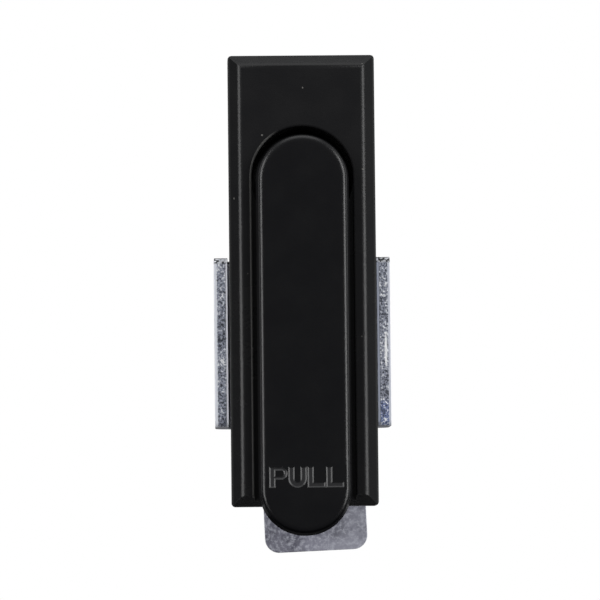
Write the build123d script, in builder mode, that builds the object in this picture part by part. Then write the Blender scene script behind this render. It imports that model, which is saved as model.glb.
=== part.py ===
from build123d import *
import math
import os

# Lift-and-turn lever lock for a cabinet door, in millimetres.
# The front faces -Y, +X is to the viewer's right and +Z is up.
# The origin is on the spindle's axis, in the outer surface of the door.

# Bezel
bezel_width = 32.5
bezel_length = 100.0
bezel_above_axis = 28.0
bezel_height = 8.0
bezel_bevel = 2.5
bezel_corner_radius = 0.9
gasket_thickness = 1.0
gasket_inset = 0.4
gasket_body_clearance = 0.15

# Body behind the door
bezel_side_overlap = 2.75
bezel_end_overlap = 7.0
body_depth = 13.0
body_corner_radius = 3.0
body_rim_chamfer = 0.5
casting_wall = 2.0
channel_floor = 2.5
rib_thickness = 1.6
rib_recess = 4.0

# Recess that the lever lies in
recess_half_width = 11.2
recess_top_rise = 0.8
recess_depth = 1.3
rim_radius = 0.5
well_depth = 17.6

# Lever
lever_radius = 10.35
lever_overhang = 6.6
lever_thickness = 5.0
lever_floor_gap = 0.3
lever_draft = 8.0
lever_edge_radius = 0.9
lever_foot_chamfer = 0.4
lever_wall = 1.6
lever_skin = 1.8
lever_rib_thickness = 1.2
lever_rib_height = 1.6
lever_rib_pitch = 11.0
lever_lug_thickness = 2.2
lever_lug_radius = 2.7

# Hinge pin and its spring
pin_radius = 1.25
pin_length = 16.2
pin_below_axis = 1.5
pin_below_face = 2.5
pin_end_chamfer = 0.25
pin_hole_clearance = 0.05
pin_press_clearance = 0.01
spring_wire = 0.6
spring_turns = 2
spring_wire_sides = 6
spring_leg_lap = 0.15
spring_foot_length = 3.9
spring_hole_depth = 1.0
spring_hole_clearance = 0.1
spring_pin_clearance = 0.15
spring_side_clearance = 0.1
spring_end_clearance = 0.05

# Spindle
neck_thickness = 6.4
neck_below_pin = 4.0
neck_radius = 3.0
neck_top_relief = 0.3
neck_lug_clearance = 0.15
hub_radius = 10.9
hub_thickness = 2.2
shaft_radius = 6.0
shaft_clearance = 0.04
square_side = 8.0
square_end_clearance = 0.3
stud_radius = 3.0
stud_overhang = 1.2
stud_chamfer = 0.5
friction_washer_radius = 10.2
friction_washer_thickness = 0.5
washer_float = 0.06
o_ring_section = 1.4
o_ring_sides = 6
o_ring_depth = 3.0
o_ring_squeeze_gap = 0.02

# Rear boss and the quarter-turn stop
boss_radius = 10.0
boss_length = 7.6
boss_root_chamfer = 1.0
turn_limit = 90.0
stop_play = 1.0
stop_lug_direction = 90.0
stop_lug_angle = 30.0
stop_lug_thickness = 2.4
stop_washer_radius = 9.8
stop_washer_thickness = 1.5
stop_clearance = 0.2

# Tongue and its fasteners
tongue_width = 23.2
tongue_reach = 81.8
tongue_thickness = 2.5
tongue_corner_radius = 3.2
tongue_tilt = 2.3
tongue_hole_play = 0.2
flat_washer_radius = 6.0
flat_washer_thickness = 1.6
spring_washer_radius = 5.5
spring_washer_thickness = 1.5
spring_washer_slit = 0.8
nut_across_flats = 10.0
nut_thickness = 5.0
nut_chamfer = 0.6
thread_clearance = 0.02
washer_hole_clearance = 0.2

# Clamp bracket and its fasteners
bracket_sheet = 3.0
bracket_body_gap = 3.1
bracket_height = 37.8
bracket_below_axis = 35.25
bracket_bend_radius = 1.5
bracket_corner_radius = 1.2
bracket_edge_depth = 1.2
bracket_web_gap = 1.0
clamp_screw_radius = 2.0
clamp_screw_inset = 7.9
clamp_screw_grip = 8.0
clamp_screw_tip = 0.5
clamp_boss_radius = 4.2
clamp_hole_extra_depth = 2.0
clamp_washer_radius = 4.5
clamp_washer_thickness = 0.8
clamp_spring_washer_radius = 3.6
clamp_spring_washer_thickness = 1.0
clamp_head_radius = 3.9
clamp_head_height = 2.6
clamp_head_chamfer = 0.8
clamp_drive_width = 1.0
clamp_drive_length = 4.4
clamp_drive_depth = 1.5
clamp_drive_draft = 6.0

# Rubber pads under the lever
pad_radius = 2.4
pad_spacing = 9.0
pad_below_axis = 61.0
pad_socket_depth = 1.0
pad_socket_clearance = 0.1
pad_lever_gap = 0.1

# Places along the depth that follow from the sizes above
bezel_back = -gasket_thickness
face = bezel_back - bezel_height
channel_face = face + recess_depth
well_floor = face + well_depth
boss_end = body_depth + boss_length
lever_foot = channel_face - lever_floor_gap
lever_top = lever_foot - lever_thickness
lever_ceiling = lever_top + lever_skin
pin_depth = face + pin_below_face
friction_washer_back = well_floor - washer_float
hub_back = friction_washer_back - friction_washer_thickness
hub_front = hub_back - hub_thickness
stop_washer_front = boss_end + washer_float
tongue_front = stop_washer_front + stop_washer_thickness
tongue_back = tongue_front + tongue_thickness
flat_washer_back = tongue_back + flat_washer_thickness
spring_washer_back = flat_washer_back + spring_washer_thickness
nut_back = spring_washer_back + nut_thickness
stud_end = nut_back + stud_overhang
web_front = body_depth + bracket_web_gap
web_back = web_front + bracket_sheet
clamp_washer_back = web_back + clamp_washer_thickness
clamp_head_seat = clamp_washer_back + clamp_spring_washer_thickness

# Places across the front that follow from the sizes above
bezel_centre = bezel_above_axis - bezel_length / 2
bezel_bottom = bezel_above_axis - bezel_length
body_width = bezel_width - 2 * bezel_side_overlap
body_length = bezel_length - 2 * bezel_end_overlap
body_centre = bezel_centre
lever_reach = lever_overhang - bezel_bottom
lever_end_centre = lever_radius - lever_reach
pin_height = -pin_below_axis
cup_radius = recess_half_width + casting_wall
shaft_bore_radius = shaft_radius + shaft_clearance
o_ring_outer = shaft_bore_radius - o_ring_squeeze_gap
o_ring_groove_radius = o_ring_outer - o_ring_section - o_ring_squeeze_gap
bracket_inner_width = body_width + 2 * bracket_body_gap
bracket_outer_width = bracket_inner_width + 2 * bracket_sheet
clamp_screw_rise = bracket_height / 2 - clamp_screw_inset
clamp_heights = [-bracket_below_axis + clamp_screw_rise, -bracket_below_axis - clamp_screw_rise]

os.makedirs("parts", exist_ok=True)


def facing(depth):
    """The plane parallel to the door at a depth, drawn as seen from the front."""
    return Plane.XZ.offset(-depth)


def save(piece, label):
    """Name a finished piece and write it to its own file."""
    piece.part.label = label
    export_step(piece.part, f"parts/{label}.step")


def stadium(radius, top, bottom):
    """Outline with round ends, given by the heights of the two end centres."""
    with BuildSketch(mode=Mode.PRIVATE) as outline:
        with Locations((0, (top + bottom) / 2)):
            SlotCenterToCenter(top - bottom, 2 * radius, rotation=90)
    return outline.sketch


def split_ring(outer_radius, inner_radius, thickness, slit, depth, height=0.0):
    """Spring lock washer: a flat ring with a slanted slit through one side."""
    with BuildPart() as ring:
        with BuildSketch(facing(depth)):
            with Locations((0, height)):
                Circle(outer_radius)
                Circle(inner_radius, mode=Mode.SUBTRACT)
        extrude(amount=-thickness)
        cutter = Plane(
            origin=((outer_radius + inner_radius) / 2, depth + thickness / 2, height),
            x_dir=(1, 0, 0),
            z_dir=(0, 1, 1),
        )
        with BuildSketch(cutter):
            Rectangle(2 * (outer_radius - inner_radius), 4 * thickness)
        extrude(amount=slit / 2, both=True, mode=Mode.SUBTRACT)
    return ring


# Housing: one zinc casting with bezel, recess, well, ribbed body and rear boss
recess_outline = stadium(recess_half_width, recess_top_rise, -bezel_length)
well_outline = stadium(recess_half_width, recess_top_rise, 0)
cup_outline = stadium(cup_radius, recess_top_rise, 0)
pocket_depth = body_depth - channel_face - channel_floor

with BuildPart() as housing:
    with BuildSketch(facing(bezel_back)):
        with Locations((0, bezel_centre)):
            Rectangle(bezel_width, bezel_length)
    extrude(amount=bezel_height)
    chamfer(housing.faces().sort_by(Axis.Y)[0].edges(), bezel_bevel)
    with BuildSketch(facing(bezel_back)):
        with Locations((0, bezel_centre)):
            RectangleRounded(bezel_width, bezel_length, bezel_corner_radius)
    extrude(amount=bezel_height, mode=Mode.INTERSECT)

    with BuildSketch(facing(face)):
        add(recess_outline)
    extrude(amount=-recess_depth, mode=Mode.SUBTRACT)
    front_face = housing.faces().filter_by(Axis.Y).sort_by(Axis.Y)[0]
    rim = front_face.edges().filter_by(
        lambda edge: abs(edge.center().X) < recess_half_width + rim_radius
        and bezel_bottom + bezel_bevel < edge.center().Z < recess_half_width + 2 * recess_top_rise
    )
    fillet(rim, rim_radius)

    with BuildSketch(facing(bezel_back)):
        with Locations((0, body_centre)):
            RectangleRounded(body_width, body_length, body_corner_radius)
    extrude(amount=-(body_depth - bezel_back))
    rear_face = housing.faces().filter_by(Axis.Y).sort_by(Axis.Y)[-1]
    chamfer(rear_face.edges(), body_rim_chamfer)

    with BuildSketch(facing(body_depth)):
        with Locations((0, body_centre)):
            RectangleRounded(
                body_width - 2 * casting_wall,
                body_length - 2 * casting_wall,
                body_corner_radius - casting_wall / 2,
            )
        add(cup_outline, mode=Mode.SUBTRACT)
        Rectangle(rib_thickness, 4 * body_length, mode=Mode.SUBTRACT)
        for height in clamp_heights:
            with Locations((0, height)):
                Circle(clamp_boss_radius, mode=Mode.SUBTRACT)
                Rectangle(body_width, rib_thickness, mode=Mode.SUBTRACT)
    extrude(amount=pocket_depth, mode=Mode.SUBTRACT)

    with BuildSketch(facing(body_depth)):
        with Locations((0, body_centre)):
            Rectangle(body_width - 2 * casting_wall, body_length - 2 * casting_wall)
        add(cup_outline, mode=Mode.SUBTRACT)
        for height in clamp_heights:
            with Locations((0, height)):
                Circle(clamp_boss_radius, mode=Mode.SUBTRACT)
    extrude(amount=rib_recess, mode=Mode.SUBTRACT)

    with BuildSketch(facing(body_depth)):
        Circle(boss_radius)
    extrude(amount=-boss_length)
    boss_root = housing.edges().filter_by(GeomType.CIRCLE).filter_by(
        lambda edge: abs(edge.radius - boss_radius) < 0.01 and abs(edge.center().Y - body_depth) < 0.01
    )
    chamfer(boss_root, boss_root_chamfer)

    with BuildSketch(facing(channel_face)):
        add(well_outline)
    extrude(amount=-(well_floor - channel_face), mode=Mode.SUBTRACT)
    with BuildSketch(facing(well_floor)):
        Circle(shaft_bore_radius)
    extrude(amount=-(boss_end - well_floor), mode=Mode.SUBTRACT)

    with BuildSketch(facing(boss_end)):
        with BuildLine():
            stop_start = stop_lug_direction - stop_lug_angle / 2
            stop_inner = stop_washer_radius - stop_lug_thickness
            inner_arc = CenterArc((0, 0), stop_inner, stop_start, stop_lug_angle)
            outer_arc = CenterArc((0, 0), stop_washer_radius, stop_start, stop_lug_angle)
            Line(inner_arc @ 0, outer_arc @ 0)
            Line(inner_arc @ 1, outer_arc @ 1)
        make_face()
    extrude(amount=-stop_washer_thickness)

    with BuildSketch(facing(channel_face)):
        with Locations((0, -pad_below_axis)):
            with GridLocations(pad_spacing, 0, 2, 1):
                Circle(pad_radius + pad_socket_clearance)
    extrude(amount=-pad_socket_depth, mode=Mode.SUBTRACT)

    with BuildSketch(facing(body_depth)):
        for height in clamp_heights:
            with Locations((0, height)):
                Circle(clamp_screw_radius + thread_clearance)
    extrude(amount=clamp_screw_grip + clamp_hole_extra_depth, mode=Mode.SUBTRACT)
save(housing, "housing")

# Door gasket: a flat ring between the bezel and the door
with BuildPart() as gasket:
    with BuildSketch(facing(0)):
        with Locations((0, bezel_centre)):
            RectangleRounded(
                bezel_width - 2 * gasket_inset,
                bezel_length - 2 * gasket_inset,
                bezel_corner_radius,
            )
        with Locations((0, body_centre)):
            RectangleRounded(
                body_width + 2 * gasket_body_clearance,
                body_length + 2 * gasket_body_clearance,
                body_corner_radius,
                mode=Mode.SUBTRACT,
            )
    extrude(amount=gasket_thickness)
save(gasket, "door_gasket")

# Rubber pads pressed into the floor of the recess, under the lever's foot
for side, name in ((-1, "left"), (1, "right")):
    with BuildPart() as pad:
        with BuildSketch(facing(channel_face + pad_socket_depth)):
            with Locations((side * pad_spacing / 2, -pad_below_axis)):
                Circle(pad_radius)
        extrude(amount=pad_socket_depth + lever_floor_gap - pad_lever_gap)
        chamfer(pad.edges().group_by(Axis.Y)[0], pad_lever_gap)
    save(pad, f"lever_pad_{name}")

# Lever: a hollow casting with ribs, a foot for the pads and two hinge lugs
hollow_radius = lever_radius - lever_wall
lug_inner = neck_thickness / 2 + neck_lug_clearance
lug_outer = lug_inner + lever_lug_thickness
hinge_bay = pin_below_axis + neck_below_pin + lever_rib_pitch / 2
rib_run = lever_reach - lever_radius - hinge_bay
rib_count = int(rib_run // lever_rib_pitch)

with BuildPart() as lever:
    with BuildSketch(facing(lever_foot)):
        add(stadium(lever_radius, 0, lever_end_centre))
    extrude(amount=lever_thickness, taper=lever_draft)
    fillet(lever.edges().group_by(Axis.Y)[0], lever_edge_radius)
    chamfer(lever.edges().group_by(Axis.Y)[-1], lever_foot_chamfer)

    with BuildSketch(facing(lever_foot)):
        add(stadium(hollow_radius, 0, lever_end_centre))
    extrude(amount=lever_thickness - lever_skin, taper=lever_draft, mode=Mode.SUBTRACT)

    with BuildSketch(facing(lever_ceiling)):
        with Locations((0, -hinge_bay - rib_run / 2)):
            Rectangle(lever_rib_thickness, rib_run)
        for step in range(rib_count):
            with Locations((0, -hinge_bay - step * lever_rib_pitch)):
                Rectangle(2 * hollow_radius, lever_rib_thickness)
    extrude(amount=-lever_rib_height)

    with BuildSketch(facing(lever_ceiling)):
        with Locations((0, -pad_below_axis)):
            Rectangle(2 * hollow_radius, 2 * pad_radius)
    extrude(amount=-(lever_foot - lever_ceiling))

    for side in (-1, 1):
        lug_plane = Plane.YZ.offset(side * (lug_inner + lug_outer) / 2)
        with BuildSketch(lug_plane):
            with Locations((pin_depth, pin_height)):
                Circle(lever_lug_radius)
            with Locations(((pin_depth + lever_ceiling) / 2, pin_height)):
                Rectangle(pin_depth - lever_ceiling, 2 * lever_lug_radius)
        extrude(amount=lever_lug_thickness / 2, both=True)
    with BuildSketch(Plane.YZ):
        with Locations((pin_depth, pin_height)):
            Circle(pin_radius + pin_hole_clearance)
    extrude(amount=lug_outer, both=True, mode=Mode.SUBTRACT)
save(lever, "lever")

# Hinge pin: pressed through the spindle's neck, with the lever's lugs outside it
with BuildPart() as pin:
    with BuildSketch(Plane.YZ):
        with Locations((pin_depth, pin_height)):
            Circle(pin_radius)
    extrude(amount=pin_length / 2, both=True)
    chamfer(pin.edges().filter_by(GeomType.CIRCLE), pin_end_chamfer)
save(pin, "hinge_pin")

# Torsion spring on the pin: one foot under the lever's skin, one leg in the hub
coil_radius = pin_radius + spring_pin_clearance + spring_wire / 2
coil_pitch = spring_wire + spring_side_clearance
coil_start = lug_outer + spring_side_clearance + spring_wire / 2
coil_end = coil_start + spring_turns * coil_pitch
leg_height = pin_height + coil_radius
foot_depth = lever_ceiling + spring_end_clearance + spring_wire / 2
foot_end = leg_height + spring_foot_length
leg_end = hub_front + spring_hole_depth - spring_end_clearance

with BuildPart() as spring:
    with BuildLine() as coil:
        Helix(
            coil_pitch,
            spring_turns * coil_pitch,
            coil_radius,
            center=(coil_start, pin_depth, pin_height),
            direction=(1, 0, 0),
            lefthand=True,
        )
    with BuildSketch(Plane(origin=coil.line @ 0, z_dir=coil.line % 0)):
        RegularPolygon(spring_wire / 2, spring_wire_sides)
    sweep(path=coil.line)
    with BuildSketch(facing(pin_depth + spring_leg_lap)):
        with Locations((coil_start, leg_height)):
            Circle(spring_wire / 2)
    extrude(amount=pin_depth + spring_leg_lap - foot_depth + spring_wire / 2)
    with BuildSketch(Plane.XY.offset(leg_height - spring_wire / 2)):
        with Locations((coil_start, foot_depth)):
            Circle(spring_wire / 2)
    extrude(amount=foot_end - leg_height + spring_wire / 2)
    with BuildSketch(facing(pin_depth - spring_leg_lap)):
        with Locations((coil_end, leg_height)):
            Circle(spring_wire / 2)
    extrude(amount=-(leg_end - pin_depth + spring_leg_lap))
save(spring, "lever_spring")

# Spindle: neck for the hinge, hub disc, shaft with seal groove, square and stud
with BuildPart() as spindle:
    with BuildSketch(Plane.YZ):
        with Locations((pin_depth, pin_height)):
            Circle(neck_radius)
        neck_low = pin_height - neck_below_pin
        neck_high = pin_height + neck_radius
        with BuildLine():
            Polyline(
                (pin_depth, neck_high),
                (hub_front, neck_high - neck_top_relief),
                (hub_front, neck_low - neck_radius / 2),
                (pin_depth, pin_height - neck_radius),
                close=True,
            )
        make_face()
    extrude(amount=neck_thickness / 2, both=True)
    with BuildSketch(facing(hub_front)):
        Circle(hub_radius)
    extrude(amount=-hub_thickness)
    with BuildSketch(facing(hub_back)):
        Circle(shaft_radius)
    extrude(amount=-(boss_end - hub_back))
    with BuildSketch(facing(boss_end)):
        Rectangle(square_side, square_side)
    extrude(amount=-(tongue_back - square_end_clearance - boss_end))
    with BuildSketch(facing(tongue_back - square_end_clearance)):
        Circle(stud_radius)
    extrude(amount=-(stud_end - tongue_back + square_end_clearance))
    chamfer(spindle.edges().group_by(Axis.Y)[-1], stud_chamfer)
    with BuildSketch(facing(well_floor + o_ring_depth)):
        Circle(shaft_radius + 1)
        Circle(o_ring_groove_radius, mode=Mode.SUBTRACT)
    extrude(amount=-(o_ring_section + 2 * o_ring_squeeze_gap), mode=Mode.SUBTRACT)
    with BuildSketch(Plane.YZ):
        with Locations((pin_depth, pin_height)):
            Circle(pin_radius + pin_press_clearance)
    extrude(amount=neck_thickness, both=True, mode=Mode.SUBTRACT)
    with BuildSketch(facing(hub_front)):
        with Locations((coil_end, leg_height)):
            Circle(spring_wire / 2 + spring_hole_clearance)
    extrude(amount=-spring_hole_depth, mode=Mode.SUBTRACT)
save(spindle, "spindle")

# Seal ring in the shaft's groove
with BuildPart() as o_ring:
    ring_centre = well_floor + o_ring_depth + o_ring_section / 2 + o_ring_squeeze_gap
    with BuildSketch(Plane.XY):
        with Locations((o_ring_outer - o_ring_section / 2, ring_centre)):
            RegularPolygon(o_ring_section / 2, o_ring_sides)
    revolve(axis=Axis.Y)
save(o_ring, "spindle_o_ring")

# Friction washer between the hub and the floor of the well
with BuildPart() as friction_washer:
    with BuildSketch(facing(hub_back)):
        Circle(friction_washer_radius)
        Circle(shaft_radius + shaft_clearance, mode=Mode.SUBTRACT)
    extrude(amount=-friction_washer_thickness)
save(friction_washer, "friction_washer")

# Stop washer: a quarter-turn notch runs past the lug on the housing's boss
with BuildPart() as stop_washer:
    with BuildSketch(facing(stop_washer_front)):
        Circle(stop_washer_radius)
        Rectangle(
            square_side + tongue_hole_play,
            square_side + tongue_hole_play,
            mode=Mode.SUBTRACT,
        )
        with BuildLine():
            notch_end = stop_lug_direction + stop_lug_angle / 2 + stop_play
            notch_angle = turn_limit + stop_lug_angle + 2 * stop_play
            notch_radius = stop_washer_radius - stop_lug_thickness - stop_clearance
            floor_arc = CenterArc((0, 0), notch_radius, notch_end, -notch_angle)
            mouth_arc = CenterArc((0, 0), 2 * stop_washer_radius, notch_end, -notch_angle)
            Line(floor_arc @ 0, mouth_arc @ 0)
            Line(floor_arc @ 1, mouth_arc @ 1)
        make_face(mode=Mode.SUBTRACT)
    extrude(amount=-stop_washer_thickness)
save(stop_washer, "stop_washer")

# Tongue: a flat steel cam, hanging a little askew in the play of its square hole
tilt = math.radians(tongue_tilt)
tongue_plane = Plane(
    origin=(0, tongue_front, 0),
    x_dir=(math.cos(tilt), 0, math.sin(tilt)),
    z_dir=(0, -1, 0),
)

with BuildPart() as tongue:
    with BuildSketch(tongue_plane) as blade:
        with Locations((0, -tongue_reach / 2)):
            Rectangle(tongue_width, tongue_reach)
        fillet(blade.vertices().group_by(Axis.Y)[0], tongue_corner_radius)
        Circle(tongue_width / 2)
        Rectangle(
            square_side + 2 * tongue_hole_play,
            square_side + 2 * tongue_hole_play,
            mode=Mode.SUBTRACT,
        )
    extrude(amount=-tongue_thickness)
save(tongue, "tongue")

# Flat washer, lock washer and nut that hold the tongue on the spindle's stud
with BuildPart() as flat_washer:
    with BuildSketch(facing(tongue_back)):
        Circle(flat_washer_radius)
        Circle(stud_radius + washer_hole_clearance, mode=Mode.SUBTRACT)
    extrude(amount=-flat_washer_thickness)
save(flat_washer, "tongue_flat_washer")

spring_washer = split_ring(
    spring_washer_radius,
    stud_radius + washer_hole_clearance,
    spring_washer_thickness,
    spring_washer_slit,
    flat_washer_back,
)
save(spring_washer, "tongue_spring_washer")

with BuildPart() as nut:
    with BuildSketch(facing(spring_washer_back)):
        RegularPolygon(nut_across_flats / 2, 6, major_radius=False)
    extrude(amount=-nut_thickness)
    with BuildSketch(Plane.XY) as nut_corner:
        corner_radius = nut_across_flats / math.sqrt(3)
        with BuildLine():
            Polyline(
                (corner_radius - nut_chamfer, nut_back),
                (corner_radius, nut_back - nut_chamfer / math.sqrt(3)),
                (corner_radius + 1, nut_back - nut_chamfer / math.sqrt(3)),
                (corner_radius + 1, nut_back),
                close=True,
            )
        make_face()
    revolve(axis=Axis.Y, mode=Mode.SUBTRACT)
    with BuildSketch(facing(spring_washer_back)):
        Circle(stud_radius + thread_clearance)
    extrude(amount=-nut_thickness, mode=Mode.SUBTRACT)
save(nut, "tongue_nut")

# Clamp bracket: a bent steel channel whose legs bear on the back of the door
with BuildPart() as bracket:
    half_inner = bracket_inner_width / 2
    half_outer = bracket_outer_width / 2
    with BuildSketch(Plane.XY.offset(-bracket_below_axis)) as channel:
        with Locations((0, (bracket_edge_depth + web_back) / 2)):
            Rectangle(bracket_outer_width, web_back - bracket_edge_depth)
        fillet(
            channel.vertices().group_by(Axis.Y)[-1], bracket_bend_radius + bracket_sheet
        )
        with BuildSketch(mode=Mode.PRIVATE) as inside:
            with Locations((0, (bracket_edge_depth + web_front) / 2)):
                Rectangle(bracket_inner_width, web_front - bracket_edge_depth)
            fillet(inside.vertices().group_by(Axis.Y)[-1], bracket_bend_radius)
        add(inside.sketch, mode=Mode.SUBTRACT)
    extrude(amount=bracket_height / 2, both=True)
    leg_corners = bracket.edges().filter_by(Axis.X).filter_by(
        lambda edge: abs(edge.center().Y - bracket_edge_depth) < 0.01
    )
    fillet(leg_corners, bracket_corner_radius)
    with BuildSketch(facing(web_front)):
        for height in clamp_heights:
            with Locations((0, height)):
                Circle(clamp_screw_radius + washer_hole_clearance)
    extrude(amount=-bracket_sheet, mode=Mode.SUBTRACT)
save(bracket, "clamp_bracket")

# Two clamp screws, each with a flat washer and a lock washer
for height, name in zip(clamp_heights, ("upper", "lower")):
    with BuildPart() as clamp_washer:
        with BuildSketch(facing(web_back)):
            with Locations((0, height)):
                Circle(clamp_washer_radius)
                Circle(clamp_screw_radius + washer_hole_clearance, mode=Mode.SUBTRACT)
        extrude(amount=-clamp_washer_thickness)
    save(clamp_washer, f"clamp_flat_washer_{name}")

    clamp_spring_washer = split_ring(
        clamp_spring_washer_radius,
        clamp_screw_radius + washer_hole_clearance,
        clamp_spring_washer_thickness,
        spring_washer_slit,
        clamp_washer_back,
        height,
    )
    save(clamp_spring_washer, f"clamp_spring_washer_{name}")

    with BuildPart() as screw:
        with BuildSketch(facing(clamp_head_seat)):
            with Locations((0, height)):
                Circle(clamp_head_radius)
        extrude(amount=-clamp_head_height)
        chamfer(screw.edges().group_by(Axis.Y)[-1], clamp_head_chamfer)
        with BuildSketch(facing(clamp_head_seat)):
            with Locations((0, height)):
                Circle(clamp_screw_radius)
        extrude(amount=clamp_head_seat - body_depth + clamp_screw_grip)
        chamfer(screw.edges().group_by(Axis.Y)[0], clamp_screw_tip)
        with BuildSketch(facing(clamp_head_seat + clamp_head_height)):
            with Locations((0, height)):
                Rectangle(clamp_drive_width, clamp_drive_length)
                Rectangle(clamp_drive_length, clamp_drive_width)
        extrude(amount=clamp_drive_depth, taper=clamp_drive_draft, mode=Mode.SUBTRACT)
    save(screw, f"clamp_screw_{name}")
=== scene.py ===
import logging
import math
from collections.abc import Mapping, Sequence
from dataclasses import dataclass
from enum import Enum

import bmesh
import bpy
from mathutils import Matrix, Vector


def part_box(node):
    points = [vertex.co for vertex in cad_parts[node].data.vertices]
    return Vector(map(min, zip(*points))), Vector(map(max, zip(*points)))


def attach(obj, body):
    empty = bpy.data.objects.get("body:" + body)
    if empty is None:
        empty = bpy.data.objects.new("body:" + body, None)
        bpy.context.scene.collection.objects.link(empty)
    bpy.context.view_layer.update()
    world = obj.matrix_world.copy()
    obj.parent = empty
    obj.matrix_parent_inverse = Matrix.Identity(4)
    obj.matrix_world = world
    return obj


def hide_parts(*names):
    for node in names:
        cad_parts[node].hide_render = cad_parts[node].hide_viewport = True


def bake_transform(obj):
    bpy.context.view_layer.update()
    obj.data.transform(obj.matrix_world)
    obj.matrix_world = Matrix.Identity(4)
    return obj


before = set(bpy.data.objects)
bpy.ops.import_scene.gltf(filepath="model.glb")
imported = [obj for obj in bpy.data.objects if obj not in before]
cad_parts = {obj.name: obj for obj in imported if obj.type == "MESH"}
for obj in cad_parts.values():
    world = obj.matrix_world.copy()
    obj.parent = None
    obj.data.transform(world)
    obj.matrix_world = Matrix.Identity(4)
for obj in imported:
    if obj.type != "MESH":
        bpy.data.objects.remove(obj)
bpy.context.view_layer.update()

logging.basicConfig(level=logging.INFO, format="%(message)s")
log = logging.getLogger("lever_lock")

MM = 0.001


class Body(Enum):
    """The rigid bodies that pieces ride on."""

    LOCK = "lock_body"
    SPINDLE = "turning_spindle"
    LEVER = "pull_lever"


class Slot(Enum):
    """The record's material slots."""

    BLACK_COAT = "black_coat"
    LEVER_COAT = "lever_coat"
    GASKET = "gasket_rubber"
    PAD = "pad_rubber"
    SEAL = "seal_rubber"
    PIN = "pin_steel"
    SPRING = "spring_steel"
    SPINDLE = "spindle_zinc"
    WASHER = "washer_polymer"
    STOP = "plated_steel"
    TONGUE = "tongue_steel"
    BRACKET = "bracket_steel"
    FASTENER = "fastener_steel"


Socket = bpy.types.NodeSocket
Node = bpy.types.Node
Piece = bpy.types.Object
Colour = tuple[float, float, float]
Place = tuple[float, float, float]
Span = tuple[float, float]
Sockets = Mapping[str, Socket]


def rgba(colour: Colour) -> tuple[float, float, float, float]:
    """The colour with full opacity.

    Args:
        colour: Its red, green and blue.

    Returns:
        The colour with an alpha of 1.
    """
    return (*colour, 1.0)


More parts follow.
